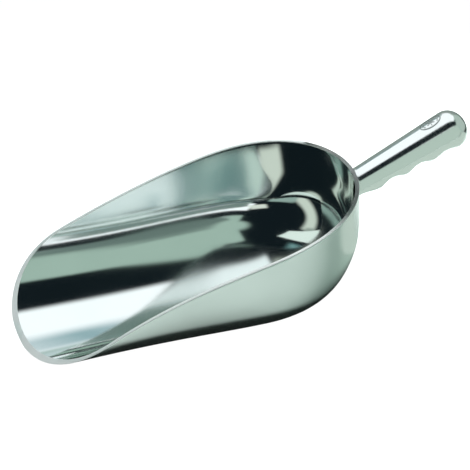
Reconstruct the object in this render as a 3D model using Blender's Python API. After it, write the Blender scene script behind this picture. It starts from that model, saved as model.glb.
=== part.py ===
"""An aluminium ice scoop: a deep bowl cut back to a round lip, and a finger grip welded to its back wall.

Units are metres and +Z is up. +X runs from the lip towards the handle, and the scoop is symmetric about y = 0.
It stands on the flat under the bowl. All pieces hang from one empty, which centres the scoop on its origin.
"""

import math

import bmesh
import bpy
from mathutils import Matrix, Vector

# Bowl: outer sizes
HALF_WIDTH = 0.0800  # at the shoulders, where the round back begins
WAIST_HALF_WIDTH = 0.0780  # half way along the trough, which is drawn in a little
LIP_HALF_WIDTH = 0.0806  # of the trough's section at the lip
BOWL_LENGTH = 0.2580  # lip to the back wall
BACK_LENGTH = 0.0846  # the part of that length in the round back
RIM_HEIGHT = 0.0873  # of the rim over the flat, at the back
SIDE_DEPTH = 0.0307  # height over the flat at which a side wall is upright
BACK_DEPTH = 0.0545  # the same at the back wall
WALL = 0.0030
BASE_DIP = 0.0007  # what the flat under the bowl takes off the round underside
RIM_ENTRY_SLOPE = 0.716  # rise of the rim for its run, at the lip
RIM_EXIT_SLOPE = 0.125  # the same at the back
EDGE_ROUND = 0.0008  # rounding of the rim's two edges

# Handle
HANDLE_HEIGHT = 0.0711  # of the axis over the flat, where it meets the back wall
HANDLE_TILT = math.radians(23.8)
HANDLE_REACH = 0.0826  # along the axis, from the back wall to where the domed end starts
ROOT_RADIUS = 0.0109
END_RADIUS = 0.0148
DOME_LENGTH = 0.0130
ROOT_OVERRUN = 0.012  # how far the uncut handle runs into the bowl
FINGER_PITCH = 0.0225
FINGER_DEPTHS = (0.0034, 0.0032, 0.0022)  # of the valleys, from the bowl outwards
FIRST_VALLEY = 0.0285  # along the axis, from the back wall
ROOT_RELIEF = 0.0032  # how much thinner the handle is underneath where it meets the bowl
ROOT_RELIEF_RUN = 0.0175  # along the axis, over which that fades out

# Weld round the root of the handle
WELD_LEG = 0.0026
WELD_HOLLOW = 0.12  # how far the bead's face is dressed hollow, as a share of its leg

# Badge in the top of the handle
BADGE_PLACE = 0.0722  # of its centre along the axis, from the back wall
BADGE_LENGTH = 0.0176
BADGE_WIDTH = 0.0102
BADGE_POCKET = 0.0006
BADGE_PROUD = 0.0003

GAP = 0.0003  # between pieces that touch

# Fineness of the mesh
LIP_STATIONS = 3  # across half the flat's edge
CORNER_STATIONS = 13  # from there to where the rim leaves the curved part of the side wall
SIDE_STATIONS = 9  # from there to the shoulder
BACK_STATIONS = 14
WALL_LEVELS = 12
HANDLE_RINGS = 64
HANDLE_SIDES = 32
WELD_STATIONS = 48
WELD_FACETS = 4
BADGE_SIDES = 40


# --- helpers ---------------------------------------------------------------------------------------------------------


def clear_scene():
    for item in list(bpy.data.objects):
        bpy.data.objects.remove(item)


def finish_material(name, colour, roughness):
    """A bare metal finish."""
    material = bpy.data.materials.new(name)
    material.use_nodes = True
    shader = material.node_tree.nodes["Principled BSDF"]
    shader.inputs["Base Color"].default_value = (*colour, 1.0)
    shader.inputs["Metallic"].default_value = 1.0
    shader.inputs["Roughness"].default_value = roughness
    return material


def add_object(name, build, material, parent):
    """An object from the bmesh that build(bm) fills, smooth where its faces meet softly."""
    bm = bmesh.new()
    build(bm)
    bmesh.ops.remove_doubles(bm, verts=bm.verts, dist=1e-7)
    bmesh.ops.dissolve_degenerate(bm, edges=bm.edges, dist=1e-7)
    bmesh.ops.recalc_face_normals(bm, faces=bm.faces)
    mesh = bpy.data.meshes.new(name)
    bm.to_mesh(mesh)
    bm.free()
    mesh.shade_smooth()
    mesh.set_sharp_from_angle(angle=math.radians(35))
    mesh.materials.append(material)
    made = bpy.data.objects.new(name, mesh)
    made.parent = parent
    bpy.context.scene.collection.objects.link(made)
    return made


def skin_rings(bm, rings, closed_across):
    """Faces between neighbouring rings of points; closed_across also joins each ring's last point to its first."""
    made = [[bm.verts.new(point) for point in ring] for ring in rings]
    count = len(rings[0])
    steps = count if closed_across else count - 1
    for ring, after in zip(made, made[1:]):
        for i in range(steps):
            j = (i + 1) % count
            bm.faces.new((ring[i], ring[j], after[j], after[i]))
    return made


def cut_away(target, cutter):
    """Takes cutter's shape out of target, and keeps cutter out of the render."""
    modifier = target.modifiers.new("cut_" + cutter.name, "BOOLEAN")
    modifier.operation = "DIFFERENCE"
    modifier.object = cutter
    cutter.hide_render = True
    cutter.display_type = "WIRE"


def bezier(a, b, c, t):
    """Point at t on the curve from a to c that b pulls towards itself."""
    return a * (1 - t) ** 2 + b * 2 * t * (1 - t) + c * t**2


def smooth_step(t):
    """Runs from 0 to 1 with level ends as t does, and stays there outside."""
    t = min(1.0, max(0.0, t))
    return t * t * (3 - 2 * t)


# --- bowl ------------------------------------------------------------------------------------------------------------

SHOULDER = BOWL_LENGTH - BACK_LENGTH  # x where the straight trough ends and the round back begins


def rim_pull():
    """The control point of the rim's side profile, where its two end slopes meet."""
    run = (RIM_HEIGHT - RIM_EXIT_SLOPE * BOWL_LENGTH) / (RIM_ENTRY_SLOPE - RIM_EXIT_SLOPE)
    return run, RIM_ENTRY_SLOPE * run


def rim_height(x):
    """Height of the rim over the flat at x. In front of x = 0 it runs on at the lip's slope."""
    if x <= 0:
        return RIM_ENTRY_SLOPE * x
    pull_x, pull_z = rim_pull()
    a = BOWL_LENGTH - 2 * pull_x
    t = x / (pull_x + math.sqrt(pull_x**2 + a * x))
    return bezier(0.0, pull_z, RIM_HEIGHT, t)


def rim_run(z):
    """x at which the rim is z high, by halving."""
    low, high = -BOWL_LENGTH, BOWL_LENGTH
    for _ in range(50):
        middle = (low + high) / 2
        low, high = (middle, high) if rim_height(middle) < z else (low, middle)
    return (low + high) / 2


def swell(rise, depth):
    """Share of its full reach that a wall has at some rise, for a quarter ellipse of that depth, then upright."""
    return math.sin(climb(rise, depth)) if rise < depth else 1.0


def climb(rise, depth):
    """How far up a wall a rise is: the angle round its quarter ellipse, running on past it up the upright part."""
    return math.acos(min(1.0, 1 - rise / depth)) if rise < depth else math.pi / 2 + rise / depth - 1


def rise_at(angle, depth):
    """The rise that climb turns into this angle."""
    return depth * (1 - math.cos(angle)) if angle < math.pi / 2 else depth * (1 + angle - math.pi / 2)


def half_width(x, inset):
    """Reach of a side wall at x, on the curve through the half widths at the lip, the waist and the shoulder."""
    t = min(1.0, x / SHOULDER)
    lip = LIP_HALF_WIDTH * (2 * t - 1) * (t - 1)
    waist = WAIST_HALF_WIDTH * 4 * t * (1 - t)
    return lip + waist + HALF_WIDTH * t * (2 * t - 1) - inset


def wall_point(place, z, inset):
    """Point of the outer wall, or of the inner wall where inset is the wall's thickness.

    place is ("side", x) on the trough, or ("back", angle) on the round back, 90 degrees being the shoulder.
    """
    rise = z + BASE_DIP - inset
    side = swell(rise, SIDE_DEPTH + BASE_DIP - inset)
    if place[0] == "side":
        return Vector((place[1], half_width(place[1], inset) * side, z))
    back = swell(rise, BACK_DEPTH + BASE_DIP - inset)
    x = SHOULDER + (BACK_LENGTH - inset) * back * math.cos(place[1])
    return Vector((x, (HALF_WIDTH - inset) * side * math.sin(place[1]), z))


def rim_point(place, inset):
    """Where the wall at this place meets the rim."""
    z = rim_height(place[1]) if place[0] == "side" else RIM_HEIGHT
    point = wall_point(place, z, inset)
    for _ in range(6):
        point = wall_point(place, rim_height(point.x), inset)
    return point


def wall_column(place, inset):
    """Points up a wall from its floor to the rim, evenly spread round its curve."""
    top = rim_point(place, inset)
    depth = SIDE_DEPTH + BASE_DIP - inset
    if place[0] == "back":
        depth += (BACK_DEPTH - SIDE_DEPTH) * math.cos(place[1]) ** 2
    base = BASE_DIP - inset
    first = climb(base, depth)
    last = climb(top.z + base, depth)
    angles = [first + (last - first) * i / WALL_LEVELS for i in range(WALL_LEVELS)]
    return [wall_point(place, rise_at(angle, depth) - base, inset) for angle in angles] + [top]


def side_runs(inset):
    """x of each station on the trough's side, from the lip's corner to before the shoulder."""
    depth = SIDE_DEPTH + BASE_DIP - inset
    base = BASE_DIP - inset
    first = climb(base, depth)
    angles = [first + (math.pi / 2 - first) * i / CORNER_STATIONS for i in range(CORNER_STATIONS)]
    runs = [rim_run(rise_at(angle, depth) - base) for angle in angles]
    upright = rim_run(SIDE_DEPTH)
    return runs + [upright + (SHOULDER - upright) * i / SIDE_STATIONS for i in range(SIDE_STATIONS)]


def bowl_places(inset):
    """The places along half the rim, from the corner of the lip to the middle of the back."""
    turns = [math.pi / 2 * (1 - i / BACK_STATIONS) for i in range(BACK_STATIONS + 1)]
    return [("side", x) for x in side_runs(inset)] + [("back", turn) for turn in turns]


def rounded_corner(before, corner, after):
    """Three points that round a corner, cutting it back by EDGE_ROUND or by less where an edge is short."""
    cut = min(EDGE_ROUND, 0.4 * (before - corner).length, 0.4 * (after - corner).length)
    if cut < 1e-6:
        return [corner.copy() for _ in range(3)]
    a = corner + (before - corner).normalized() * cut
    c = corner + (after - corner).normalized() * cut
    return [bezier(a, corner, c, t) for t in (0.0, 0.5, 1.0)]


def bowl_ring(outer_place, inner_place):
    """Points from the flat up the outer wall, over the rim and down the inner wall to the middle of the floor."""
    outer = wall_column(outer_place, 0.0)
    inner = wall_column(inner_place, WALL)
    outer_edge = rounded_corner(outer[-2], outer[-1], inner[-1])
    inner_edge = rounded_corner(outer[-1], inner[-1], inner[-2])
    return outer[:-1] + outer_edge + inner_edge + inner[-2::-1]


def lip_ring(y):
    """The same across the lip, where the outer wall is the flat's own edge and the inner wall is one point."""
    under = (SIDE_DEPTH + BASE_DIP) * (1 - math.sqrt(1 - (y / LIP_HALF_WIDTH) ** 2)) - BASE_DIP
    edge = Vector((rim_run(under), y, 0.0))
    floor = WALL - BASE_DIP
    tip = Vector((rim_run(floor), 0.0, floor))
    ahead = edge + Vector((WALL, 0.0, 0.0))
    outer_edge = rounded_corner(ahead, edge, tip)
    return [outer_edge[0]] * WALL_LEVELS + outer_edge + [tip] * (WALL_LEVELS + 3)


def build_half_bowl(bm):
    """The +Y half of the bowl's shell, as sections along its rim closed by half of the flat it stands on."""
    rings = [bowl_ring(outer, inner) for outer, inner in zip(bowl_places(0.0), bowl_places(WALL))]
    corner = rings[0][0].y
    lip = [lip_ring(corner * i / LIP_STATIONS) for i in range(LIP_STATIONS)]
    made = skin_rings(bm, lip + rings, closed_across=False)
    bm.faces.new([ring[0] for ring in made])


# --- handle ----------------------------------------------------------------------------------------------------------

AXIS = Vector((math.cos(HANDLE_TILT), 0.0, math.sin(HANDLE_TILT)))
RAISED = Vector((-math.sin(HANDLE_TILT), 0.0, math.cos(HANDLE_TILT)))  # square to the axis, towards the handle's top
ACROSS = Vector((0.0, 1.0, 0.0))
ROOT = Vector((BOWL_LENGTH, 0.0, HANDLE_HEIGHT))


def grip_radius(along):
    """Radius of the round handle, without its finger valleys, at a distance from the back wall."""
    return ROOT_RADIUS + (END_RADIUS - ROOT_RADIUS) * along / HANDLE_REACH


def valley(along):
    """Depth of what the handle lacks underneath, at a distance from the back wall: finger valleys and root relief."""
    depth = ROOT_RELIEF * (1 - smooth_step(along / ROOT_RELIEF_RUN))
    for i, deepest in enumerate(FINGER_DEPTHS):
        off = abs(along - FIRST_VALLEY - i * FINGER_PITCH) / FINGER_PITCH
        depth += deepest * math.cos(math.pi * min(off, 0.5)) ** 2
    return depth


def handle_point(along, turn):
    """Point of the handle's surface. turn is 0 at the +Y side and 90 degrees at the top."""
    radius = grip_radius(min(along, HANDLE_REACH))
    if along > HANDLE_REACH:
        radius *= math.sqrt(max(0.0, 1 - ((along - HANDLE_REACH) / DOME_LENGTH) ** 2))
    under = smooth_step(-math.sin(turn))
    radius -= valley(along) * under
    return ROOT + AXIS * along + (ACROSS * math.cos(turn) + RAISED * math.sin(turn)) * radius


def build_handle(bm):
    """The uncut handle, from inside the bowl to its domed end."""
    dome = 14
    body = HANDLE_RINGS - dome
    places = [-ROOT_OVERRUN + (HANDLE_REACH + ROOT_OVERRUN) * i / body for i in range(body)]
    places += [HANDLE_REACH + DOME_LENGTH * math.sin(math.pi / 2 * i / dome) for i in range(dome)]
    turns = [math.tau * i / HANDLE_SIDES for i in range(HANDLE_SIDES)]
    made = skin_rings(bm, [[handle_point(s, turn) for turn in turns] for s in places], closed_across=True)
    tip = bm.verts.new(ROOT + AXIS * (HANDLE_REACH + DOME_LENGTH))
    for i in range(HANDLE_SIDES):
        bm.faces.new((made[-1][i], made[-1][(i + 1) % HANDLE_SIDES], tip))
    bm.faces.new(made[0])


def build_back_wall_cutter(bm):
    """The upright back of the bowl, grown by GAP, to shape the end of the handle that meets it."""
    bmesh.ops.create_cone(
        bm, cap_ends=True, segments=8 * BACK_STATIONS, radius1=1.0, radius2=1.0, depth=2 * RIM_HEIGHT
    )
    grown = Matrix.Diagonal((BACK_LENGTH + GAP, HALF_WIDTH + GAP, 1.0, 1.0))
    bm.transform(Matrix.Translation((SHOULDER, 0.0, RIM_HEIGHT / 2)) @ grown)


def build_oval(bm, grow, low, high):
    """An oval slab bent round the handle's top, between two heights over the handle's surface."""
    rings = []
    for height in (low, high):
        for share in ((0.0, 0.5, 1.0) if height == low else (1.0, 0.5, 0.0)):
            ring = []
            for i in range(BADGE_SIDES):
                angle = math.tau * i / BADGE_SIDES
                along = BADGE_PLACE + share * (BADGE_LENGTH / 2 + grow) * math.cos(angle)
                radius = grip_radius(along)
                turn = math.pi / 2 + share * (BADGE_WIDTH / 2 + grow) * math.sin(angle) / radius
                out = ACROSS * math.cos(turn) + RAISED * math.sin(turn)
                ring.append(ROOT + AXIS * along + out * (radius + height))
            rings.append(ring)
    skin_rings(bm, rings, closed_across=True)


# --- weld ------------------------------------------------------------------------------------------------------------


def root_line(turn):
    """Distance along the handle at which its surface meets the back wall, on the line at this turn."""
    low, high = -ROOT_OVERRUN, HANDLE_REACH
    for _ in range(50):
        middle = (low + high) / 2
        point = handle_point(middle, turn)
        outside = ((point.x - SHOULDER) / BACK_LENGTH) ** 2 + (point.y / HALF_WIDTH) ** 2 > 1
        low, high = (low, middle) if outside else (middle, high)
    return (low + high) / 2


def build_weld(bm):
    """A bead in the corner between handle and back wall, all the way round."""
    rings = []
    for i in range(WELD_STATIONS + 1):
        turn = math.tau * (i % WELD_STATIONS) / WELD_STATIONS
        along = root_line(turn)
        corner = handle_point(along, turn)
        off_wall = Vector(((corner.x - SHOULDER) / BACK_LENGTH**2, corner.y / HALF_WIDTH**2, 0.0)).normalized()
        off_handle = (ACROSS * math.cos(turn) + RAISED * math.sin(turn)).normalized()
        up_handle = (handle_point(along + WELD_LEG, turn) - corner).normalized()
        up_wall = (off_handle - off_wall * off_handle.dot(off_wall)).normalized()
        heel = corner + off_wall * GAP + off_handle * GAP
        on_handle = corner + off_handle * GAP + up_handle * WELD_LEG
        on_wall = corner + off_wall * GAP + up_wall * WELD_LEG
        middle = (on_handle + on_wall) / 2
        pull = middle - (middle - heel).normalized() * WELD_LEG * WELD_HOLLOW * 2
        face = [bezier(on_handle, pull, on_wall, step / WELD_FACETS) for step in range(WELD_FACETS + 1)]
        rings.append([heel] + face)
    skin_rings(bm, rings, closed_across=True)


# --- assembly --------------------------------------------------------------------------------------------------------


def main():
    clear_scene()
    polished = finish_material("polished_aluminium", (0.78, 0.80, 0.79), 0.12)
    satin = finish_material("satin_aluminium", (0.74, 0.77, 0.75), 0.28)
    dressed = finish_material("dressed_weld", (0.76, 0.78, 0.77), 0.32)
    stamped = finish_material("badge_metal", (0.70, 0.72, 0.71), 0.30)

    scoop = bpy.data.objects.new("scoop", None)
    bpy.context.scene.collection.objects.link(scoop)

    bowl = add_object("bowl", build_half_bowl, satin, scoop)
    other_half = bowl.modifiers.new("other_half", "MIRROR")
    other_half.use_axis = (False, True, False)
    other_half.merge_threshold = 0.00001
    handle = add_object("handle", build_handle, polished, scoop)
    add_object("neck_weld", build_weld, dressed, scoop)
    add_object("badge", lambda bm: build_oval(bm, 0.0, GAP - BADGE_POCKET, BADGE_PROUD), stamped, scoop)

    wall_cutter = add_object("back_wall_cutter", build_back_wall_cutter, satin, scoop)
    pocket = add_object("badge_pocket", lambda bm: build_oval(bm, GAP, -BADGE_POCKET, 0.004), stamped, scoop)
    cut_away(handle, wall_cutter)
    cut_away(handle, pocket)

    lip = min(vertex.co.x for vertex in bowl.data.vertices)
    end = max(vertex.co.x for vertex in handle.data.vertices)
    scoop.location.x = -(lip + end) / 2


main()
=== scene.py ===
"""Looks of a cast aluminium ice scoop: mirror-polished inside, satin outside, with a polished finger grip.

Everything is in metres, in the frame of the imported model: +X runs from the lip to the handle, +Z is up, and
the scoop is symmetric about y = 0. Each visible piece is modelled here at a finer grain than its plain solid,
which it replaces.
"""

import logging
import math
from dataclasses import dataclass, field
from enum import Enum
from typing import Callable, TypeVar

import bpy
from mathutils import Matrix, Vector


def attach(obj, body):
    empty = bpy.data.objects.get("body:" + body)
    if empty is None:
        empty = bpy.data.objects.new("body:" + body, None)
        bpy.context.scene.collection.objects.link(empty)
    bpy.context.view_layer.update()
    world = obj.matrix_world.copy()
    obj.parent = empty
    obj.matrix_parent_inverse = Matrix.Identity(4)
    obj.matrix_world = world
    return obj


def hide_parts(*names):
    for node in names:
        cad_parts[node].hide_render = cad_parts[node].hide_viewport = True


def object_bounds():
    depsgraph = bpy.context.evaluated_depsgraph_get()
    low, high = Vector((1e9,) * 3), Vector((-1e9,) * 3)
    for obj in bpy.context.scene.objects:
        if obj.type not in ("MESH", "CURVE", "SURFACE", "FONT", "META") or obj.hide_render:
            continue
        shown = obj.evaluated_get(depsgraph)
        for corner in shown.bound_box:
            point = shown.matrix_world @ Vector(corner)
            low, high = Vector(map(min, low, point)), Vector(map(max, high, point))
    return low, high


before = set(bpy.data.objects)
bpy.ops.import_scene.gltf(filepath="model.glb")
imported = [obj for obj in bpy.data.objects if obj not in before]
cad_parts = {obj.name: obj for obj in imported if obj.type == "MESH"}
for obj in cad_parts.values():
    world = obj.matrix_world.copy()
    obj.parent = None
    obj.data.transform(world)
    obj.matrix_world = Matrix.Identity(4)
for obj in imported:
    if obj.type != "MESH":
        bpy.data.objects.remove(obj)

LOG = logging.getLogger("ice_scoop")
CAD_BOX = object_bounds()
LIP_OVERHANG = 0.00065  # how far the lip reaches ahead of x = 0 of the bowl's own measure
LARGEST_CUT = 0.45  # share of an edge that the rounding of one corner may take

Rule = Callable[[Vector], Vector]
Colour = tuple[float, float, float]
Oval = tuple[float, float, float, float]
Place = tuple[str, float]
Spot = TypeVar("Spot", float, Vector)
Socket = bpy.types.NodeSocket
Value = float | Socket
Paint = Colour | Socket


class Finish(Enum):
    """The named metal finishes of the scoop."""

    MIRROR = "mirror_inside"
    SATIN = "satin_outside"
    RIM = "buffed_rim"
    GRIP = "polished_grip"
    WELD = "dressed_weld"
    BADGE = "stamped_badge"


# --- small helpers --------------------------------------------------------------------------------


def smooth_step(t: float) -> float:
    """Run from 0 to 1 with level ends.

    Args:
        t: The place along the run, clamped to 0..1.

    Returns:
        The eased value.
    """
    t = min(1.0, max(0.0, t))
    return t * t * (3 - 2 * t)


def bezier(start: Spot, pull: Spot, end: Spot, t: float) -> Spot:
    """Point on a quadratic curve.

    Args:
        start: The curve's start.
        pull: The point that pulls it.
        end: The curve's end.
        t: The place along it, 0 to 1.

    Returns:
        The point, a number or a vector as the ends are.
    """
    return start * (1 - t) ** 2 + pull * 2 * t * (1 - t) + end * t**2


def deselect() -> None:
    """Leave nothing selected and nothing in edit mode."""
    if bpy.context.mode != "OBJECT":
        bpy.ops.object.mode_set(mode="OBJECT")
    bpy.ops.object.select_all(action="DESELECT")


def make_active(piece: bpy.types.Object) -> None:
    """Select one piece alone and make it the active one.

    Args:
        piece: The piece.
    """
    deselect()
    piece.select_set(True)
    bpy.context.view_layer.objects.active = piece


def edit(piece: bpy.types.Object) -> None:
    """Open a piece in edit mode with nothing selected.

    Args:
        piece: The piece.
    """
    make_active(piece)
    bpy.ops.object.mode_set(mode="EDIT")
    bpy.ops.mesh.select_all(action="DESELECT")


def reshape(piece: bpy.types.Object, rule: Rule) -> None:
    """Move every point of a piece's mesh by a rule.

    Args:
        piece: The piece, out of edit mode.
        rule: Gives a point's new place from its old one.
    """
    for vertex in piece.data.vertices:
        vertex.co = rule(vertex.co)
    piece.data.update()


def weld_points(piece: bpy.types.Object, distance: float = 1e-6) -> None:
    """Merge the points of a mesh that lie together and turn its faces outwards.

    Args:
        piece: The piece.
        distance: How near two points are merged.
    """
    edit(piece)
    bpy.ops.mesh.select_all(action="SELECT")
    bpy.ops.mesh.remove_doubles(threshold=distance)
    bpy.ops.mesh.dissolve_degenerate(threshold=distance)
    bpy.ops.mesh.normals_make_consistent(inside=False)
    deselect()


def smooth_by_angle(piece: bpy.types.Object, degrees: float) -> None:
    """Shade a piece smooth, with creases sharper than an angle kept.

    Args:
        piece: The piece.
        degrees: The angle between faces past which an edge stays sharp.
    """
    make_active(piece)
    bpy.ops.object.shade_smooth_by_angle(angle=math.radians(degrees))
    deselect()


# --- the bowl -------------------------------------------------------------------------------------


def climb_of(rise: float, depth: float) -> float:
    """How far up a wall a rise is.

    Args:
        rise: The height over the bottom of the wall's quarter ellipse.
        depth: The ellipse's depth, above which the wall is upright.

    Returns:
        The angle round the quarter ellipse, running on past 90 degrees up the upright part.
    """
    if rise >= depth:
        return math.pi / 2 + rise / depth - 1
    return math.acos(max(-1.0, min(1.0, 1 - rise / depth)))


def rise_at(climb: float, depth: float) -> float:
    """The rise that climb_of turns into this angle."""
    return depth * (1 - math.cos(climb)) if climb < math.pi / 2 else depth * (1 + climb - math.pi / 2)


def swell(rise: float, depth: float) -> float:
    """Share of its full reach that a wall has at some rise."""
    return math.sin(min(climb_of(rise, depth), math.pi / 2))


def rounded_corner(before: Vector, corner: Vector, after: Vector, cut: float, points: int) -> list[Vector]:
    """Points that round a corner between two edges.

    Args:
        before: A point on the edge that comes in.
        corner: The sharp corner.
        after: A point on the edge that goes out.
        cut: How much of each edge the rounding takes, or less where an edge is short.
        points: How many points it has.

    Returns:
        The points, in order.
    """
    cut = min(cut, LARGEST_CUT * (before - corner).length, LARGEST_CUT * (after - corner).length)
    start = corner + (before - corner).normalized() * cut
    end = corner + (after - corner).normalized() * cut
    return [bezier(start, corner, end, i / (points - 1)) for i in range(points)]


@dataclass
class Bowl:
    """The bowl's shell. x runs from the lip and z from the flat it stands on, till origin_x puts it in place.

    The side walls are quarter ellipses that run on upright, and the back is an oval of higher power than an
    ellipse, so that a reflection runs on smoothly from the straight trough into the round back.
    """

    origin_x: float
    half_width: float = 0.0800
    waist: float = 0.0021
    lip_flare: float = 0.0006
    length: float = 0.2580
    back_length: float = 0.0956
    back_power: float = 2.4
    rim_height: float = 0.0873
    side_depth: float = 0.0307
    back_depth: float = 0.0545
    wall: float = 0.0030
    base_dip: float = 0.0007
    entry_slope: float = 0.716
    exit_slope: float = 0.125
    edge_round: float = 0.0006
    edge_points: int = 5
    lip_stations: int = 6
    corner_stations: int = 56
    side_stations: int = 44
    back_stations: int = 56
    levels: int = 40
    rim_rounds: int = 8
    halvings: int = 50
    merge: float = 2e-6
    crease: float = 50

    @property
    def shoulder(self) -> float:
        """x where the trough ends and the round back begins."""
        return self.length - self.back_length

    def rim_z(self, x: float) -> float:
        """Height of the rim, on one curve between its two end slopes.

        Args:
            x: The distance from the lip.

        Returns:
            The height over the flat.
        """
        if x <= 0:
            return self.entry_slope * x
        pull_x = (self.rim_height - self.exit_slope * self.length) / (self.entry_slope - self.exit_slope)
        t = x / (pull_x + math.sqrt(pull_x**2 + (self.length - 2 * pull_x) * x))
        return bezier(0.0, self.entry_slope * pull_x, self.rim_height, t)

    def rim_x(self, z: float) -> float:
        """Where along the bowl the rim has some height, found by halving.

        Args:
            z: The height over the flat.

        Returns:
            The distance from the lip.
        """
        low, high = -self.length, self.length
        for _ in range(self.halvings):
            middle = (low + high) / 2
            low, high = (middle, high) if self.rim_z(middle) < z else (low, middle)
        return (low + high) / 2

    def reach(self, x: float, inset: float) -> float:
        """Half width of the trough, a little narrower at its waist and wider at its lip.

        Args:
            x: The distance from the lip.
            inset: 0 on the outer wall, or the wall's thickness on the inner one.

        Returns:
            The half width there.
        """
        t = min(1.0, max(0.0, x / self.shoulder))
        pinch = (4 * t * (1 - t)) ** 2
        return self.half_width - inset - self.waist * pinch + self.lip_flare * (1 - t) ** 3

    def wall_point(self, place: Place, z: float, inset: float) -> Vector:
        """Point of a wall.

        Args:
            place: ("side", x) on the trough, or ("back", turn) round the back, 90 degrees being the shoulder.
            z: The height over the flat.
            inset: 0 on the outer wall, or the wall's thickness on the inner one.

        Returns:
            The point, on the +Y side.
        """
        rise = z + self.base_dip - inset
        across = swell(rise, self.side_depth + self.base_dip - inset)
        kind, where = place
        if kind == "side":
            return Vector((where, self.reach(where, inset) * across, z))
        along = swell(rise, self.back_depth + self.base_dip - inset) * max(0.0, math.cos(where))
        x = self.shoulder + (self.back_length - inset) * along ** (2 / self.back_power)
        return Vector((x, (self.half_width - inset) * across * math.sin(where), z))

    def rim_point(self, place: Place, inset: float) -> Vector:
        """Where a wall meets the rim. On the back both depend on x, so the height is found in a few rounds.

        Args:
            place: The place along the wall, as wall_point takes it.
            inset: 0 on the outer wall, or the wall's thickness on the inner one.

        Returns:
            The point on the rim.
        """
        z = self.rim_z(place[1]) if place[0] == "side" else self.rim_height
        point = self.wall_point(place, z, inset)
        for _ in range(self.rim_rounds):
            point = self.wall_point(place, self.rim_z(point.x), inset)
        return point

    def column(self, place: Place, inset: float) -> list[Vector]:
        """Points up a wall from its floor to the rim, evenly spread round its curve.

        Args:
            place: The place along the wall, as wall_point takes it.
            inset: 0 on the outer wall, or the wall's thickness on the inner one.

        Returns:
            The points, the rim's last.
        """
        top = self.rim_point(place, inset)
        base = self.base_dip - inset
        depth = self.side_depth + base
        if place[0] == "back":
            depth += (self.back_depth - self.side_depth) * math.cos(place[1]) ** 2
        first, last = climb_of(base, depth), climb_of(top.z + base, depth)
        climbs = [first + (last - first) * i / self.levels for i in range(self.levels)]
        return [self.wall_point(place, rise_at(climb, depth) - base, inset) for climb in climbs] + [top]

    def places(self, inset: float) -> list[Place]:
        """The places along half the rim, from the corner of the lip to the middle of the back.

        Args:
            inset: 0 on the outer wall, or the wall's thickness on the inner one.

        Returns:
            Each place, as wall_point takes it.
        """
        base = self.base_dip - inset
        depth = self.side_depth + base
        first = climb_of(base, depth)
        step = (math.pi / 2 - first) / self.corner_stations
        runs = [self.rim_x(rise_at(first + step * i, depth) - base) for i in range(self.corner_stations)]
        upright = self.rim_x(self.side_depth)
        step = (self.shoulder - upright) / self.side_stations
        runs += [upright + step * i for i in range(self.side_stations)]
        turns = [math.pi / 2 * (1 - i / self.back_stations) for i in range(self.back_stations + 1)]
        return [("side", x) for x in runs] + [("back", turn) for turn in turns]

    def section(self, outer_place: Place, inner_place: Place) -> list[Vector]:
        """Points from the flat up the outer wall, over the rim and down the inner wall to mid floor.

        Args:
            outer_place: The place along the outer wall.
            inner_place: The place along the inner wall that faces it.

        Returns:
            The points, in order.
        """
        outer = self.column(outer_place, 0.0)
        inner = self.column(inner_place, self.wall)
        rise = rounded_corner(outer[-2], outer[-1], inner[-1], self.edge_round, self.edge_points)
        fall = rounded_corner(outer[-1], inner[-1], inner[-2], self.edge_round, self.edge_points)
        return outer[:-1] + rise + fall + inner[-2::-1]

    def lip_section(self, y: float) -> list[Vector]:
        """The same across the lip, where the outer wall is the flat's own edge and the inner one a point.

        Args:
            y: The distance from the middle of the lip.

        Returns:
            As many points as section gives.
        """
        round_drop = 1 - math.sqrt(1 - (y / (self.half_width + self.lip_flare)) ** 2)
        under = (self.side_depth + self.base_dip) * round_drop - self.base_dip
        edge = Vector((self.rim_x(under), y, 0.0))
        floor = self.wall - self.base_dip
        tip = Vector((self.rim_x(floor), 0.0, floor))
        ahead = edge + Vector((self.wall, 0.0, 0.0))
        rise = rounded_corner(ahead, edge, tip, self.edge_round, self.edge_points)
        return [rise[0]] * self.levels + rise + [tip] * (self.levels + self.edge_points)

    def sections(self) -> list[list[Vector]]:
        """Every section of the +Y half, from the middle of the lip to the middle of the back."""
        made = [self.section(*pair) for pair in zip(self.places(0.0), self.places(self.wall))]
        corner = made[0][0].y
        lip = [self.lip_section(corner * i / self.lip_stations) for i in range(self.lip_stations)]
        return lip + made

    def build(self) -> bpy.types.Object:
        """Shape a grid round both walls, close the flat, and give each wall and the rim its own finish.

        Returns:
            The bowl.
        """
        half = self.sections()
        columns, rows = len(half) - 1, len(half[0]) - 1
        deselect()
        bpy.ops.mesh.primitive_grid_add(x_subdivisions=2 * columns, y_subdivisions=rows, size=2.0)
        bowl = bpy.context.object
        bowl.name = bowl.data.name = "bowl_shell"

        def onto_walls(co: Vector) -> Vector:
            """Place of a grid point: its x runs round the rim and its y up and over the walls."""
            point = half[round((1 - abs(co.x)) * columns)][round((co.y + 1) / 2 * rows)]
            return Vector((point.x + self.origin_x, point.y * (-1.0 if co.x < 0 else 1.0), point.z))

        rim_rows = range(self.levels, self.levels + 2 * self.edge_points - 1)
        for finish in (Finish.SATIN, Finish.MIRROR, Finish.RIM):
            bowl.data.materials.append(bpy.data.materials[finish.value])
        for face in bowl.data.polygons:
            row = int((face.center.y + 1) / 2 * rows)
            face.material_index = 2 if row in rim_rows else int(row > rim_rows[-1])
        reshape(bowl, onto_walls)
        self.close_flat(bowl)
        weld_points(bowl, self.merge)
        smooth_by_angle(bowl, self.crease)
        return bowl

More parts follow.
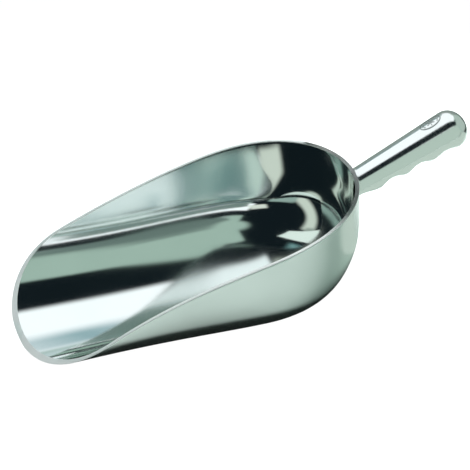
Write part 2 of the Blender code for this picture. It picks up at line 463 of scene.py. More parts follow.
    def close_flat(self, bowl: bpy.types.Object) -> None:
        """Fill the flat underneath with one face, from the open edge that lies in it.

        Args:
            bowl: The shell, open underneath.
        """
        weld_points(bowl, self.merge)
        edit(bowl)
        bpy.ops.mesh.select_mode(type="EDGE")
        bpy.ops.mesh.select_non_manifold(extend=False, use_wire=False, use_multi_face=False, use_verts=False)
        bpy.ops.mesh.edge_face_add()
        deselect()


# --- the handle -----------------------------------------------------------------------------------


@dataclass
class Handle:
    """The tapered round handle, with finger valleys underneath, a domed end and a relief under its root."""

    origin_x: float
    root_x: float = 0.2580
    height: float = 0.0711
    tilt: float = math.radians(23.8)
    reach: float = 0.0826
    root_radius: float = 0.0109
    end_radius: float = 0.0148
    dome: float = 0.0130
    pitch: float = 0.0225
    first_valley: float = 0.0285
    valleys: tuple[float, ...] = (0.0034, 0.0032, 0.0022)
    relief: float = 0.0032
    relief_run: float = 0.0175
    buried: float = 0.0012
    lead_run: float = 0.0327
    body_rings: int = 96
    dome_rings: int = 22
    sides: int = 96
    crease: float = 40

    @property
    def axis(self) -> Vector:
        """The way the handle points."""
        return Vector((math.cos(self.tilt), 0.0, math.sin(self.tilt)))

    @property
    def raised(self) -> Vector:
        """Square to the axis, towards the handle's top."""
        return Vector((-math.sin(self.tilt), 0.0, math.cos(self.tilt)))

    @property
    def root(self) -> Vector:
        """Where the axis leaves the back of the bowl."""
        return Vector((self.root_x + self.origin_x, 0.0, self.height))

    def hollow(self, along: float) -> float:
        """Depth of what the handle lacks underneath: its finger valleys and the relief at its root.

        Args:
            along: The distance from the bowl's back.

        Returns:
            The depth there.
        """
        depth = self.relief * (1 - smooth_step(along / self.relief_run))
        for i, deepest in enumerate(self.valleys):
            off = abs(along - self.first_valley - i * self.pitch) / self.pitch
            depth += deepest * math.cos(math.pi * min(off, 0.5)) ** 2
        return depth

    def radius(self, along: float, turn: float) -> float:
        """Distance of the surface from the axis.

        Args:
            along: The distance from the bowl's back.
            turn: The angle round the axis, 0 at the +Y side and 90 degrees at the top.

        Returns:
            The radius there.
        """
        straight = min(along, self.reach)
        size = self.root_radius + (self.end_radius - self.root_radius) * straight / self.reach
        if along > self.reach:
            size *= math.sqrt(max(0.0, 1 - ((along - self.reach) / self.dome) ** 2))
        return size - self.hollow(along) * smooth_step(-math.sin(turn)) * (size > 0)

    def point(self, along: float, turn: float, grow: float = 0.0) -> Vector:
        """Point of the surface, or of one that stands off it.

        Args:
            along: The distance from the bowl's back.
            turn: The angle round the axis, as radius takes it.
            grow: How far the point stands off the surface.

        Returns:
            The point.
        """
        out = Vector((0.0, math.cos(turn), 0.0)) + self.raised * math.sin(turn)
        return self.root + self.axis * along + out * (self.radius(along, turn) + grow)

    def build(self) -> bpy.types.Object:
        """Extrude a ring along the handle, then press in the valleys.

        Returns:
            The handle.
        """
        deselect()
        bpy.ops.mesh.primitive_circle_add(vertices=self.sides, radius=1.0, fill_type="NGON")
        handle = bpy.context.object
        handle.name = handle.data.name = "handle_grip"
        rings = self.body_rings + self.dome_rings
        bpy.ops.object.mode_set(mode="EDIT")
        bpy.ops.mesh.select_all(action="SELECT")
        for _ in range(rings):
            bpy.ops.mesh.extrude_region_move(TRANSFORM_OT_translate={"value": (0.0, 0.0, 1.0)})
        deselect()

        def onto_handle(co: Vector) -> Vector:
            """Place of an extruded point: its z is the ring's number, its angle the turn round the axis."""
            ring, turn = round(co.z), math.atan2(co.y, co.x)
            if ring > self.body_rings:
                share = (ring - self.body_rings) / self.dome_rings
                return self.point(self.reach + self.dome * math.sin(math.pi / 2 * share), turn)
            along = self.reach * ring / self.body_rings
            lean = self.radius(0.0, turn) * math.sin(self.tilt) * math.sin(turn)
            lead = (lean - self.buried) / math.cos(self.tilt)
            return self.point(along + lead * (1 - smooth_step(along / self.lead_run)), turn)

        reshape(handle, onto_handle)
        handle.data.materials.append(bpy.data.materials[Finish.GRIP.value])
        weld_points(handle)
        smooth_by_angle(handle, self.crease)
        return handle


# --- the fillet and the badge ---------------------------------------------------------------------


@dataclass
class NeckFillet:
    """The dressed weld: a concave fillet all round the corner between the handle and the back of the bowl."""

    bowl: Bowl
    handle: Handle
    leg: float = 0.0034
    sink: float = 0.0004
    stations: int = 128
    facets: int = 12
    root_search: tuple[float, float] = (-0.01, 0.03)
    halvings: int = 40
    crease: float = 60

    def wall_x(self, y: float) -> float:
        """x of the upright back of the bowl, at a distance y from its middle."""
        share = (1 - (y / self.bowl.half_width) ** 2) ** (1 / self.bowl.back_power)
        return self.bowl.shoulder + self.bowl.back_length * share + self.bowl.origin_x

    def root_line(self, turn: float) -> float:
        """Where the handle's surface leaves the bowl's back, found by halving.

        Args:
            turn: The angle round the handle's axis.

        Returns:
            The distance along the handle.
        """
        low, high = self.root_search
        for _ in range(self.halvings):
            middle = (low + high) / 2
            point = self.handle.point(middle, turn)
            low, high = (low, middle) if point.x > self.wall_x(point.y) else (middle, high)
        return (low + high) / 2

    def section(self, turn: float) -> list[Vector]:
        """Points across the fillet, from the wall over its hollow face to the handle and back inside.

        Args:
            turn: The angle round the handle's axis.

        Returns:
            The points, in order.
        """
        along = self.root_line(turn)
        corner = self.handle.point(along, turn)
        out = (Vector((0.0, math.cos(turn), 0.0)) + self.handle.raised * math.sin(turn)).normalized()
        up = Vector((0.0, out.y, out.z)).normalized()
        on_wall = corner + up * self.leg
        on_wall.x = self.wall_x(on_wall.y)
        on_handle = self.handle.point(along + self.leg, turn)
        face = [bezier(on_wall, corner, on_handle, i / self.facets) for i in range(self.facets + 1)]
        into_wall = Vector((-self.sink, 0.0, 0.0))
        into_handle = -out * self.sink
        return [on_wall + into_wall, *face, on_handle + into_handle, corner + into_wall + into_handle]

    def build(self) -> bpy.types.Object:
        """Shape a torus into the fillet.

        Returns:
            The fillet.
        """
        rows = len(self.section(0.0))
        deselect()
        bpy.ops.mesh.primitive_torus_add(
            major_segments=self.stations, minor_segments=rows, major_radius=2.0, minor_radius=1.0
        )
        fillet = bpy.context.object
        fillet.name = fillet.data.name = "neck_fillet"
        turns = [math.tau * i / self.stations for i in range(self.stations)]
        sections = [self.section(turn) for turn in turns]

        def onto_corner(co: Vector) -> Vector:
            """Place of a torus point: its angle round the ring is the station, round the tube the row."""
            station = round(math.atan2(co.y, co.x) / math.tau * self.stations) % self.stations
            row = round(math.atan2(co.z, math.hypot(co.x, co.y) - 2.0) / math.tau * rows) % rows
            return sections[station][row]

        reshape(fillet, onto_corner)
        fillet.data.materials.append(bpy.data.materials[Finish.WELD.value])
        weld_points(fillet)
        smooth_by_angle(fillet, self.crease)
        return fillet


@dataclass
class Badge:
    """A plain oval mark on top of the handle: a raised border, a sunk field and an ice crystal in relief.

    Each share is a part of another size: of the border's width, then of the field's depth, of the badge's
    length, twice of its width, and of a bar's width.
    """

    handle: Handle
    place: float = 0.0722
    length: float = 0.0176
    width: float = 0.0102
    proud: float = 0.0003
    seat: float = 0.0005
    border: float = 0.0010
    field_drop: float = 0.00045
    bar: float = 0.0007
    arm: float = 0.0034
    border_slope_share: float = 0.25
    border_rise_share: float = 0.12
    crystal_drop_share: float = 0.2
    stud_out_share: float = 0.34
    stud_row_share: float = 0.17
    field_ring_share: float = 0.09
    stud_radius_share: float = 0.8
    field_rings: int = 4
    bar_cuts: int = 7
    sides: int = 96
    crease: float = 35

    def flat_oval(self) -> bpy.types.Object:
        """Make the badge's body flat: length along X, width along Y, and heights over the handle along Z.

        Returns:
            The body, with its border and its sunk field.
        """
        deselect()
        bpy.ops.mesh.primitive_circle_add(
            vertices=self.sides, radius=1.0, fill_type="NGON", location=(0.0, 0.0, -self.seat)
        )
        oval = bpy.context.object
        oval.name = oval.data.name = "badge_oval"
        oval.scale = (self.length / 2, self.width / 2, 1.0)
        bpy.ops.object.transform_apply(location=True, rotation=False, scale=True)
        bpy.ops.object.mode_set(mode="EDIT")
        bpy.ops.mesh.select_all(action="SELECT")
        rise = self.seat + self.proud
        bpy.ops.mesh.extrude_region_move(TRANSFORM_OT_translate={"value": (0.0, 0.0, rise)})
        slope = self.border * self.border_slope_share
        bpy.ops.mesh.inset(thickness=slope, depth=self.border * self.border_rise_share)
        bpy.ops.mesh.inset(thickness=self.border - 2 * slope, depth=0.0)
        bpy.ops.mesh.inset(thickness=slope, depth=-self.field_drop)
        for _ in range(self.field_rings):
            bpy.ops.mesh.inset(thickness=self.width * self.field_ring_share, depth=0.0)
        deselect()
        return oval

    def crystal(self) -> list[bpy.types.Object]:
        """Make the six-armed crystal, with a row of round studs at each side of it.

        Returns:
            The bars and the studs, flat like the body.
        """
        made = []
        lift = self.proud - self.field_drop * self.crystal_drop_share - self.seat / 2
        for i in range(3):
            deselect()
            bpy.ops.mesh.primitive_cube_add(size=1.0)
            bar = bpy.context.object
            bar.scale = (2 * self.arm, self.bar, self.seat)
            bpy.ops.object.transform_apply(location=False, rotation=False, scale=True)
            edit(bar)
            bpy.ops.mesh.select_all(action="SELECT")
            bpy.ops.mesh.subdivide(number_cuts=self.bar_cuts)
            bpy.ops.object.mode_set(mode="OBJECT")
            turned = Matrix.Rotation(math.radians(60 * i + 30), 4, "Z")
            reshape(bar, lambda co, turned=turned: turned @ co + Vector((0.0, 0.0, lift)))
            made.append(bar)
        for side in (-1, 1):
            for row in (-1, 0, 1):
                deselect()
                along = side * (self.length * self.stud_out_share - abs(row) * self.bar)
                spot = (along, row * self.width * self.stud_row_share, lift)
                size = self.bar * self.stud_radius_share
                bpy.ops.mesh.primitive_uv_sphere_add(segments=16, ring_count=10, radius=size, location=spot)
                bpy.ops.object.transform_apply(location=True, rotation=False, scale=False)
                made.append(bpy.context.object)
        return made

    def build(self) -> bpy.types.Object:
        """Join the oval and its crystal and bend them round the handle's top.

        Returns:
            The badge.
        """
        badge = self.flat_oval()
        crystal = self.crystal()
        make_active(badge)
        for piece in crystal:
            piece.select_set(True)
        bpy.ops.object.join()

        def onto_handle(co: Vector) -> Vector:
            """Place of a flat point once it is bent round the top of the handle."""
            along, top = self.place + co.x, math.pi / 2
            return self.handle.point(along, top - co.y / self.handle.radius(along, top), co.z)

        reshape(badge, onto_handle)
        badge.data.materials.append(bpy.data.materials[Finish.BADGE.value])
        weld_points(badge)
        smooth_by_angle(badge, self.crease)
        return badge


# --- finishes -------------------------------------------------------------------------------------


def new_group(name: str, inputs: dict[str, float], outputs: dict[str, str]) -> bpy.types.ShaderNodeTree:
    """Start a shader node group.

    Args:
        name: The group's name.
        inputs: Each number the group takes, with its usual value.
        outputs: Each value it gives, with its socket type.

    Returns:
        The group, with its two end nodes named "in" and "out".
    """
    group = bpy.data.node_groups.new(name, "ShaderNodeTree")
    for label, usual in inputs.items():
        group.interface.new_socket(label, in_out="INPUT", socket_type="NodeSocketFloat").default_value = usual
    for label, kind in outputs.items():
        group.interface.new_socket(label, in_out="OUTPUT", socket_type=kind)
    group.nodes.new("NodeGroupInput").name = "in"
    group.nodes.new("NodeGroupOutput").name = "out"
    return group


def use_group(tree: bpy.types.NodeTree, name: str, values: dict[str, float]) -> bpy.types.Node:
    """Put a shader node group to use.

    Args:
        tree: The node tree.
        name: The group's name.
        values: Numbers for its inputs, by their names.

    Returns:
        The group's node.
    """
    node = tree.nodes.new("ShaderNodeGroup")
    node.node_tree = bpy.data.node_groups[name]
    for label, value in values.items():
        node.inputs[label].default_value = value
    return node


def arithmetic(tree: bpy.types.NodeTree, operation: str, *values: Value) -> Socket:
    """Work out a value from sockets and numbers with one Math node.

    Args:
        tree: The node tree.
        operation: The Math node's operation.
        values: Its inputs in order, each a socket or a number.

    Returns:
        The result's socket.
    """
    node = tree.nodes.new("ShaderNodeMath")
    node.operation = operation
    for place, value in zip(node.inputs, values):
        if isinstance(value, (int, float)):
            place.default_value = value
        else:
            tree.links.new(value, place)
    return node.outputs[0]


def lay_over(tree: bpy.types.NodeTree, factor: Socket, below: Paint, above: Paint) -> Socket:
    """Lay one colour over another.

    Args:
        tree: The node tree.
        factor: How much of the upper colour shows, 0 to 1.
        below: The lower colour.
        above: The upper colour.

    Returns:
        The result's socket.
    """
    node = tree.nodes.new("ShaderNodeMix")
    node.data_type = "RGBA"
    tree.links.new(factor, node.inputs["Factor"])
    for label, given in (("A", below), ("B", above)):
        if isinstance(given, tuple):
            node.inputs[label].default_value = (*given, 1.0)
        else:
            tree.links.new(given, node.inputs[label])
    return node.outputs["Result"]


def noise(tree: bpy.types.NodeTree, vector: Socket, detail: float) -> bpy.types.Node:
    """Add a noise texture.

    Args:
        tree: The node tree.
        vector: The socket it reads its place from.
        detail: How many finer layers it has.

    Returns:
        The node.
    """
    node = tree.nodes.new("ShaderNodeTexNoise")
    node.inputs["Detail"].default_value = detail
    tree.links.new(vector, node.inputs["Vector"])
    return node


def stretched(tree: bpy.types.NodeTree, scale: tuple[float, float, float]) -> Socket:
    """Object coordinates stretched by a scale, for marks that run one way.

    Args:
        tree: The node tree.
        scale: The stretch along each axis.

    Returns:
        The stretched coordinates' socket.
    """
    coordinates = tree.nodes.new("ShaderNodeTexCoord")
    mapping = tree.nodes.new("ShaderNodeMapping")
    mapping.inputs["Scale"].default_value = scale
    tree.links.new(coordinates.outputs["Object"], mapping.inputs["Vector"])
    return mapping.outputs["Vector"]


def spread(
    tree: bpy.types.NodeTree, value: Socket, low: Value, high: Value, start: float = 0.3, end: float = 0.7
) -> Socket:
    """A value between start and end spread out between two sockets or numbers.

    Args:
        tree: The node tree.
        value: The socket to spread.
        low: The result at start, a socket or a number.
        high: The result at end, a socket or a number.
        start: The value that gives low.
        end: The value that gives high.

    Returns:
        The result's socket.
    """
    node = tree.nodes.new("ShaderNodeMapRange")
    node.inputs["From Min"].default_value = start
    node.inputs["From Max"].default_value = end
    for label, given in (("To Min", low), ("To Max", high)):
        if isinstance(given, (int, float)):
            node.inputs[label].default_value = given
        else:
            tree.links.new(given, node.inputs[label])
    tree.links.new(value, node.inputs["Value"])
    return node.outputs["Result"]


# The buffing wheel polishes the floor of the bowl better than its walls, and the round back better than
# the straight trough: the haze grows between two heights and fades between two places along the scoop.
HAZE_FROM_HEIGHT, HAZE_FULL_HEIGHT = 0.006, 0.024
HAZE_FULL_X, HAZE_END_X = -0.01, 0.04
UNSTRETCHED = (1.0, 1.0, 1.0)
LINE_STRETCH = (60.0, 1400.0, 1400.0)
SCRATCH_STRETCH = (25.0, 900.0, 700.0)
SCRATCH_FROM, SCRATCH_FULL = 0.70, 0.76


def make_polish_haze() -> bpy.types.ShaderNodeTree:
    """Make the group for the cloudy unevenness of a buffed surface.

    Returns:
        The group, which gives a roughness, and a faint tone for the metal's colour.
    """
    inputs = {"Roughness": 0.1, "Unevenness": 0.03, "Cloud Size": 0.03, "Wall Haze": 0.0}
    group = new_group("polish_haze", inputs, {"Roughness": "NodeSocketFloat", "Tone": "NodeSocketFloat"})
    given, out = group.nodes["in"].outputs, group.nodes["out"].inputs
    cloud = noise(group, stretched(group, UNSTRETCHED), detail=4.0)
    group.links.new(arithmetic(group, "DIVIDE", 1.0, given["Cloud Size"]), cloud.inputs["Scale"])
    roughest = arithmetic(group, "ADD", given["Roughness"], given["Unevenness"])
    rough = spread(group, cloud.outputs["Fac"], given["Roughness"], roughest)
    place = group.nodes.new("ShaderNodeSeparateXYZ")
    group.links.new(stretched(group, UNSTRETCHED), place.inputs[0])
    raised = spread(group, place.outputs["Z"], 0.0, given["Wall Haze"], HAZE_FROM_HEIGHT, HAZE_FULL_HEIGHT)
    forward = spread(group, place.outputs["X"], 1.0, 0.0, HAZE_FULL_X, HAZE_END_X)
    group.links.new(arithmetic(group, "MULTIPLY_ADD", raised, forward, rough), out["Roughness"])
    group.links.new(spread(group, cloud.outputs["Fac"], 0.0, 1.0), out["Tone"])
    return group


def make_buffing_lines() -> bpy.types.ShaderNodeTree:
    """Make the group for the fine lines that a buffing wheel leaves along the scoop.

    Returns:
        The group, which gives a height for a bump.
    """
    group = new_group("buffing_lines", {"Scratches": 0.4}, {"Height": "NodeSocketFloat"})
    lines = noise(group, stretched(group, LINE_STRETCH), detail=2.0)
    scratch = noise(group, stretched(group, SCRATCH_STRETCH), detail=0.0)
    deep = spread(group, scratch.outputs["Fac"], 0.0, 1.0, SCRATCH_FROM, SCRATCH_FULL)
    weighed = arithmetic(group, "MULTIPLY", deep, group.nodes["in"].outputs["Scratches"])
    height = arithmetic(group, "SUBTRACT", lines.outputs["Fac"], weighed)
    group.links.new(height, group.nodes["out"].inputs["Height"])
    return group


@dataclass(frozen=True)
class Metal:
    """One finish of cast aluminium. Its sizes are in metres, and shade is its colour where it is hazier."""

    finish: Finish
    colour: Colour
    shade: Colour
    roughness: float
    unevenness: float
    cloud_size: float
    line_depth: float
    scratches: float
    wall_haze: float = 0.0
    metallic: float = 1.0

    def build(self) -> bpy.types.Material:
        """Make the finish's material from the shared groups.

        Returns:
            The material.
        """
        material = bpy.data.materials.new(self.finish.value)
        material.use_nodes = True
        tree = material.node_tree
        shader = tree.nodes["Principled BSDF"]
        shader.inputs["Metallic"].default_value = self.metallic
        haze = use_group(tree, "polish_haze", {
            "Roughness": self.roughness, "Unevenness": self.unevenness,
            "Cloud Size": self.cloud_size, "Wall Haze": self.wall_haze,
        })
        tree.links.new(haze.outputs["Roughness"], shader.inputs["Roughness"])
        colour = lay_over(tree, haze.outputs["Tone"], self.colour, self.shade)
        tree.links.new(colour, shader.inputs["Base Color"])
        lines = use_group(tree, "buffing_lines", {"Scratches": self.scratches})
        bump = tree.nodes.new("ShaderNodeBump")
        bump.inputs["Distance"].default_value = self.line_depth
        tree.links.new(lines.outputs["Height"], bump.inputs["Height"])
        tree.links.new(bump.outputs["Normal"], shader.inputs["Normal"])
        return material


METALS = (
    Metal(Finish.MIRROR, (0.86, 0.90, 0.885), (0.83, 0.875, 0.86), 0.045, 0.03, 0.05, 0.000001, 0.3, 0.12),
    Metal(Finish.SATIN, (0.82, 0.86, 0.845), (0.79, 0.83, 0.815), 0.20, 0.05, 0.04, 0.000004, 0.3),
    Metal(Finish.RIM, (0.92, 0.95, 0.94), (0.89, 0.92, 0.91), 0.33, 0.05, 0.02, 0.000002, 0.3, metallic=0.55),
    Metal(Finish.GRIP, (0.86, 0.89, 0.88), (0.83, 0.865, 0.85), 0.14, 0.05, 0.03, 0.000002, 0.4),
    Metal(Finish.WELD, (0.86, 0.89, 0.88), (0.83, 0.865, 0.85), 0.20, 0.05, 0.02, 0.000002, 0.3),
    Metal(Finish.BADGE, (0.42, 0.46, 0.44), (0.34, 0.37, 0.36), 0.34, 0.06, 0.004, 0.000002, 0.3),
)


# --- camera and studio ----------------------------------------------------------------------------


BLACK: Colour = (0.006, 0.011, 0.014)
WHITE: Colour = (1.10, 1.15, 1.18)
PALE_GREEN: Colour = (0.38, 0.52, 0.45)
DEEP_GREEN: Colour = (0.14, 0.20, 0.18)


@dataclass(frozen=True)
class Card:
    """A far card, flag or slit of light, as the metal sees it. All its sizes are angles in degrees.

    heading is measured from -X towards +Y, and height from the horizon.
    """

    heading: float
    height: float
    half_width: float
    half_height: float
    tilt: float
    softness: float
    colour: Colour


CARDS = (
    Card(-140, 60, 45, 17.5, 0, 3, DEEP_GREEN),
    Card(-96, 30, 6, 40, 0, 5, (0.40, 0.50, 0.48)),
    Card(18, 40, 78, 42, 0, 3, BLACK),
    Card(90, 58, 25, 11.5, -8, 1.5, BLACK),
    Card(-79, 57.5, 38, 9.5, 4, 2, BLACK),
    Card(-40, 42, 16, 12, -45, 3, BLACK),
    Card(98, 30, 26, 16, 0, 2, WHITE),
    Card(56, 19, 11, 7, 25, 2, WHITE),
    Card(67, 36, 6, 15, 0, 3, (0.20, 0.38, 0.38)),
    Card(77, 34, 5, 16, 0, 3, (0.10, 0.22, 0.22)),
    Card(76, 7, 8, 6, 0, 3, (0.06, 0.12, 0.14)),
    Card(100, 21, 2, 6.5, 0, 4, (0.14, 0.32, 0.36)),
    Card(100, 6, 4, 6, 0, 4, (0.60, 0.72, 0.75)),
    Card(-84, 33.5, 28, 16, 8.4, 2, WHITE),
    Card(-48, 36, 11, 9, -25, 3, (0.75, 0.80, 0.72)),
    Card(-103, 18, 6, 7, 0, 3, (0.25, 0.45, 0.50)),
    Card(12, 19, 34, 5.5, 38, 3, (0.62, 0.70, 0.62)),
    Card(44, 39, 9, 4, 20, 2.5, (0.30, 0.36, 0.32)),
    Card(-28, 2, 14, 7, 0, 3, (0.30, 0.42, 0.38)),
)


@dataclass(frozen=True)
class NearCard:
    """A small card held along the handle, with its sizes in metres.

    lean is its angle round the handle's axis in degrees, from the top towards +Y. shift moves it sideways, and
    centre is how far along the handle its middle is. One that isn't shared lights the handle's pieces only.
    """

    name: str
    lean: float
    shift: float
    width: float
    colour: Colour
    distance: float = 0.060
    length: float = 0.180
    centre: float = 0.080
    shared: bool = False


HANDLE_CARDS = (
    NearCard("handle_far_card", 76, 0.0, 0.054, (0.28, 0.33, 0.31)),
    NearCard("handle_top_card", 20, -0.0115, 0.071, WHITE),
    NearCard("handle_dark_card", -34, -0.002, 0.030, BLACK, distance=0.061),
    NearCard("handle_side_card", -84, 0.0, 0.078, (0.50, 0.62, 0.55), shared=True),
    NearCard("handle_under_card", -150, 0.0, 0.070, (0.56, 0.67, 0.60), shared=True),
)


@dataclass(frozen=True)
class UprightCard:
    """A tall card that stands beside the scoop, facing across it, for the inside of the bowl to mirror."""

    name: str
    middle: tuple[float, float, float]
    length: float
    height: float
    colour: Colour


UPRIGHT_CARDS = (
    UprightCard("near_side_flag", (0.0075, -0.16, 0.150), 0.205, 0.130, (0.18, 0.25, 0.23)),
    UprightCard("far_side_card", (-0.205, 0.30, 0.400), 0.130, 0.360, (0.80, 0.92, 0.86)),
)


def make_card_mask() -> bpy.types.ShaderNodeTree:
    """Make the group for one soft-edged card far off in the studio.

    Returns:
        The group, which gives how much of the card lies in a direction.
    """
    place = ("Heading", "Height", "Centre Heading", "Centre Height")
    shape = ("Half Width", "Half Height", "Tilt", "Softness")
    group = new_group("card_mask", dict.fromkeys(place + shape, 0.0), {"Mask": "NodeSocketFloat"})
    given = group.nodes["in"].outputs
    across = arithmetic(group, "SUBTRACT", given["Heading"], given["Centre Heading"])
    up = arithmetic(group, "SUBTRACT", given["Height"], given["Centre Height"])
    cosine, sine = (arithmetic(group, kind, given["Tilt"]) for kind in ("COSINE", "SINE"))
    up_by_sine = arithmetic(group, "MULTIPLY", up, sine)
    up_by_cosine = arithmetic(group, "MULTIPLY", up, cosine)
    along_width = arithmetic(group, "MULTIPLY_ADD", across, cosine, up_by_sine)
    along_height = arithmetic(group, "SUBTRACT", up_by_cosine, arithmetic(group, "MULTIPLY", across, sine))
    masks = []
    for along, half in ((along_width, given["Half Width"]), (along_height, given["Half Height"])):
        edge = group.nodes.new("ShaderNodeMapRange")
        edge.interpolation_type = "SMOOTHSTEP"
        group.links.new(arithmetic(group, "ABSOLUTE", along), edge.inputs["Value"])
        group.links.new(arithmetic(group, "SUBTRACT", half, given["Softness"]), edge.inputs["From Min"])
        group.links.new(arithmetic(group, "ADD", half, given["Softness"]), edge.inputs["From Max"])
        edge.inputs["To Min"].default_value = 1.0
        edge.inputs["To Max"].default_value = 0.0
        masks.append(edge.outputs["Result"])
    group.links.new(arithmetic(group, "MULTIPLY", *masks), group.nodes["out"].inputs["Mask"])
    return group


@dataclass
class Studio:
    """The camera, a plain white floor, and the cards, flags and slits of light that the metal mirrors.

    Angles are in radians. mat and shade are ovals on the floor, as within takes them; shade is a painted
    shadow.
    """

    eye: Vector = field(default_factory=lambda: Vector((-0.3574, -1.15685, 0.83863)))
    azimuth: float = -0.2945
    elevation: float = 0.5792
    roll: float = -0.0254
    lens: float = 150.92
    nearest: float = 0.01
    floor_size: float = 12.0
    floor_gap: float = 0.0002
    mat: Oval = (0.0, 0.0, 0.42, 0.42)
    mat_softness: float = 0.08
    mat_colour: Colour = (0.82, 0.90, 0.86)
    # Painted shadow: a dark oval on the floor under the scoop, which the metal mirrors as the shade beneath
    # it.
    shade: Oval = (-0.04, 0.0, 0.138, 0.122)
    painted_shadow_softness: float = 0.13
    painted_shadow_colour: Colour = (0.055, 0.060, 0.058)
    end_card_place: float = 0.155
    end_card_size: float = 0.085
    end_card_colour: Colour = (0.46, 0.56, 0.51)
    top_light_place: Vector = field(default_factory=lambda: Vector((0.1, 0.55, 1.1)))
    top_light_size: float = 0.7
    top_light_power: float = 12.5

    def camera(self) -> bpy.types.Object:
        """Add the camera, looking down along the scoop from in front of its near side.

        Returns:
            The camera.
        """
        level = Vector((math.cos(self.azimuth), math.sin(self.azimuth), 0.0))
        back = Vector((
            math.sin(self.azimuth) * math.cos(self.elevation),
            -math.cos(self.azimuth) * math.cos(self.elevation),
            math.sin(self.elevation),
        ))
        above = back.cross(level)
        right = level * math.cos(self.roll) + above * math.sin(self.roll)
        up = above * math.cos(self.roll) - level * math.sin(self.roll)
        data = bpy.data.cameras.new("camera")
        data.lens = self.lens
        data.sensor_width = 36.0
        data.clip_start = self.nearest
        camera = bpy.data.objects.new("camera", data)
        bpy.context.scene.collection.objects.link(camera)
        turn = Matrix((right, up, back)).transposed()
        camera.matrix_world = Matrix.Translation(self.eye) @ turn.to_4x4()
        bpy.context.scene.camera = camera
        return camera

    def floor(self) -> bpy.types.Object:
        """Add the floor: the camera sees it plain white, the metal mirrors a pale mat with a painted shadow
        under the scoop.

        Returns:
            The floor.
        """
        deselect()
        bpy.ops.mesh.primitive_plane_add(size=self.floor_size)
        plane = bpy.context.object
        plane.name = "floor"
        reshape(plane, lambda co: co + Vector((0.0, 0.0, CAD_BOX[0].z - self.floor_gap)))
        material = bpy.data.materials.new("floor_white")
        material.use_nodes = True
        tree = material.node_tree
        shader = tree.nodes["Principled BSDF"]
        shader.inputs["Roughness"].default_value = 1.0
        shader.inputs["Specular IOR Level"].default_value = 0.0
        shader.inputs["Emission Color"].default_value = (1.0, 1.0, 1.0, 1.0)
        pale = lay_over(tree, self.within(tree, self.mat, self.mat_softness), BLACK, self.mat_colour)
        # Painted shadow: a dark oval under the scoop, seen only in reflections, stands in for the shade there.
        with_painted_shadow = lay_over(tree, self.within(tree, self.shade, self.painted_shadow_softness), pale, self.painted_shadow_colour)
        tree.links.new(with_painted_shadow, shader.inputs["Base Color"])
        path = tree.nodes.new("ShaderNodeLightPath")
        tree.links.new(path.outputs["Is Camera Ray"], shader.inputs["Emission Strength"])
        plane.data.materials.append(material)
        return plane

    @staticmethod
    def within(tree: bpy.types.NodeTree, oval: Oval, softness: float) -> Socket:
        """How far a place on the floor lies inside an oval.

        Args:
            tree: The node tree.
            oval: Centre x, centre y, half length and half width.
            softness: The half width of its edge, as a share of the oval.

        Returns:
            The socket: 1 inside, 0 outside.
        """
        x, y, half_length, half_width = oval
        coordinates = tree.nodes.new("ShaderNodeTexCoord")
        mapping = tree.nodes.new("ShaderNodeMapping")
        mapping.vector_type = "TEXTURE"
        mapping.inputs["Location"].default_value = (x, y, 0.0)
        mapping.inputs["Scale"].default_value = (half_length, half_width, 1.0)
        tree.links.new(coordinates.outputs["Object"], mapping.inputs["Vector"])
        distance = tree.nodes.new("ShaderNodeVectorMath")
        distance.operation = "LENGTH"
        tree.links.new(mapping.outputs["Vector"], distance.inputs[0])
        return spread(tree, distance.outputs["Value"], 1.0, 0.0, 1 - softness, 1 + softness)

    def top_light(self) -> bpy.types.Object:
        """Hang a large soft light over the scoop's far side, which lights the floor and isn't mirrored.

        Returns:
            The light.
        """
        data = bpy.data.lights.new("top_light", "AREA")
        data.size = self.top_light_size
        data.energy = self.top_light_power
        light = bpy.data.objects.new("top_light", data)
        light.location = self.top_light_place
        light.rotation_euler = self.top_light_place.to_track_quat("Z", "Y").to_euler()
        light.visible_glossy = False
        light.visible_camera = False
        bpy.context.scene.collection.objects.link(light)
        return light

    def world(self) -> None:
        """Surround the studio with its cards, and show the camera plain white."""
        world = bpy.data.worlds.new("studio")
        world.use_nodes = True
        bpy.context.scene.world = world
        tree = world.node_tree
        background = tree.nodes["Background"]
        coordinates = tree.nodes.new("ShaderNodeTexCoord")
        split = tree.nodes.new("ShaderNodeSeparateXYZ")
        tree.links.new(coordinates.outputs["Generated"], split.inputs[0])
        ahead = arithmetic(tree, "MULTIPLY", split.outputs["X"], -1.0)
        heading = arithmetic(tree, "ARCTAN2", split.outputs["Y"], ahead)
        height = arithmetic(tree, "ARCSINE", split.outputs["Z"])
        colour = PALE_GREEN
        for card in CARDS:
            angles = {
                "Centre Heading": card.heading, "Centre Height": card.height, "Half Width": card.half_width,
                "Half Height": card.half_height, "Tilt": card.tilt, "Softness": card.softness,
            }
            radians = {label: math.radians(degrees) for label, degrees in angles.items()}
            mask = use_group(tree, "card_mask", radians)
            tree.links.new(heading, mask.inputs["Heading"])
            tree.links.new(height, mask.inputs["Height"])
            colour = lay_over(tree, mask.outputs["Mask"], colour, card.colour)
        path = tree.nodes.new("ShaderNodeLightPath")
        colour = lay_over(tree, path.outputs["Is Camera Ray"], colour, (1.0, 1.0, 1.0))
        tree.links.new(colour, background.inputs["Color"])
        bpy.context.scene.view_settings.view_transform = "Standard"
        bpy.context.scene.cycles.blur_glossy = 0.0

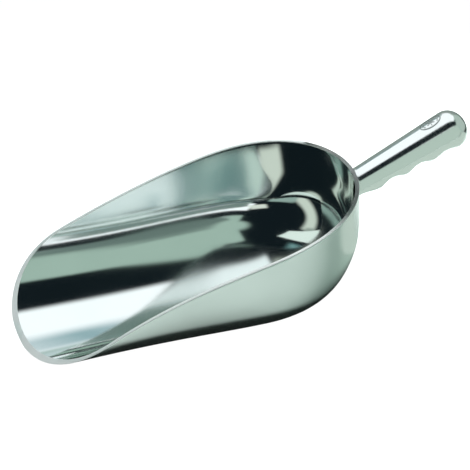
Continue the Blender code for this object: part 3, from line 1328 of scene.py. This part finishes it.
    @staticmethod
    def hang(name: str, place: Matrix, length: float, width: float, colour: Colour) -> bpy.types.Object:
        """Hang a glowing card that the camera doesn't see.

        Args:
            name: The card's name.
            place: Its middle, with its long side along the matrix's x and its short side along y.
            length: Its long side.
            width: Its short side.
            colour: Its glow.

        Returns:
            The card.
        """
        deselect()
        bpy.ops.mesh.primitive_plane_add(size=1.0)
        plane = bpy.context.object
        plane.name = name
        plane.matrix_world = place @ Matrix.Diagonal((length, width, 1.0, 1.0))
        material = bpy.data.materials.new(name)
        material.use_nodes = True
        tree = material.node_tree
        tree.nodes.remove(tree.nodes["Principled BSDF"])
        glow = tree.nodes.new("ShaderNodeEmission")
        glow.inputs["Color"].default_value = (*colour, 1.0)
        tree.links.new(glow.outputs[0], tree.nodes["Material Output"].inputs["Surface"])
        plane.data.materials.append(material)
        plane.visible_camera = False
        return plane

    def handle_card(self, handle: Handle, card: NearCard, lit: list[bpy.types.Object]) -> bpy.types.Object:
        """Hang a small card close beside the handle.

        Args:
            handle: The handle's measures.
            card: The card to hang.
            lit: What it lights, unless it is shared.

        Returns:
            The card.
        """
        lean = math.radians(card.lean)
        towards = handle.raised * math.cos(lean) + Vector((0.0, math.sin(lean), 0.0))
        across = towards.cross(handle.axis)
        turn = Matrix((handle.axis, across, towards)).transposed().to_4x4()
        middle = handle.root + handle.axis * card.centre + towards * card.distance + across * card.shift
        plane = self.hang(card.name, Matrix.Translation(middle) @ turn, card.length, card.width, card.colour)
        if not card.shared:
            self.light_only(plane, lit)
        return plane

    def end_card(self, handle: Handle, lit: list[bpy.types.Object]) -> bpy.types.Object:
        """Hang a square card beyond the handle's domed end.

        Args:
            handle: The handle's measures.
            lit: The only pieces that it lights.

        Returns:
            The card.
        """
        across = handle.raised.cross(handle.axis)
        turn = Matrix((handle.raised, across, handle.axis)).transposed().to_4x4()
        middle = handle.root + handle.axis * self.end_card_place
        place, size = Matrix.Translation(middle) @ turn, self.end_card_size
        plane = self.hang("handle_end_card", place, size, size, self.end_card_colour)
        self.light_only(plane, lit)
        return plane

    @staticmethod
    def light_only(plane: bpy.types.Object, lit: list[bpy.types.Object]) -> None:
        """Let a card light some pieces and nothing else.

        Args:
            plane: The card.
            lit: The pieces.
        """
        receivers = bpy.data.collections.new("lit_by_" + plane.name)
        for piece in lit:
            receivers.objects.link(piece)
        plane.light_linking.receiver_collection = receivers

    def hang_upright(self, card: UprightCard) -> bpy.types.Object:
        """Hang one of the tall cards that stand beside the scoop, facing across it."""
        place = Matrix.Translation(card.middle) @ Matrix.Rotation(math.radians(90), 4, "X")
        return self.hang(card.name, place, card.length, card.height, card.colour)

    def build(self) -> None:
        """Set up the camera, the world, the floor, the light and the tall cards."""
        make_card_mask()
        self.camera()
        self.world()
        self.floor()
        self.top_light()
        for card in UPRIGHT_CARDS:
            self.hang_upright(card)


# --- the whole scoop ------------------------------------------------------------------------------


def main() -> None:
    """Build the studio and the scoop, and hand each piece to its body."""
    logging.basicConfig(level=logging.INFO, format="%(name)s: %(message)s")
    make_polish_haze()
    make_buffing_lines()
    for metal in METALS:
        metal.build()
    studio = Studio()
    studio.build()
    origin_x = CAD_BOX[0].x + LIP_OVERHANG
    bowl = Bowl(origin_x)
    handle = Handle(origin_x)
    pieces = (
        (bowl.build(), "bowl", "bowl_metal"),
        (handle.build(), "handle", "handle_metal"),
        (NeckFillet(bowl, handle).build(), "neck_weld", "weld_metal"),
        (Badge(handle).build(), "badge", "badge_metal"),
    )
    for piece, node, slot in pieces:
        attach(piece, "root")
        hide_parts(node)
        LOG.info("%s stands for %s with %d faces", piece.name, node, len(piece.data.polygons))
    held = [piece for piece, node, _ in pieces if node != "bowl"]
    for card in HANDLE_CARDS:
        studio.handle_card(handle, card, held)
    studio.end_card(handle, held)
    deselect()


if __name__ == "__main__":
    main()
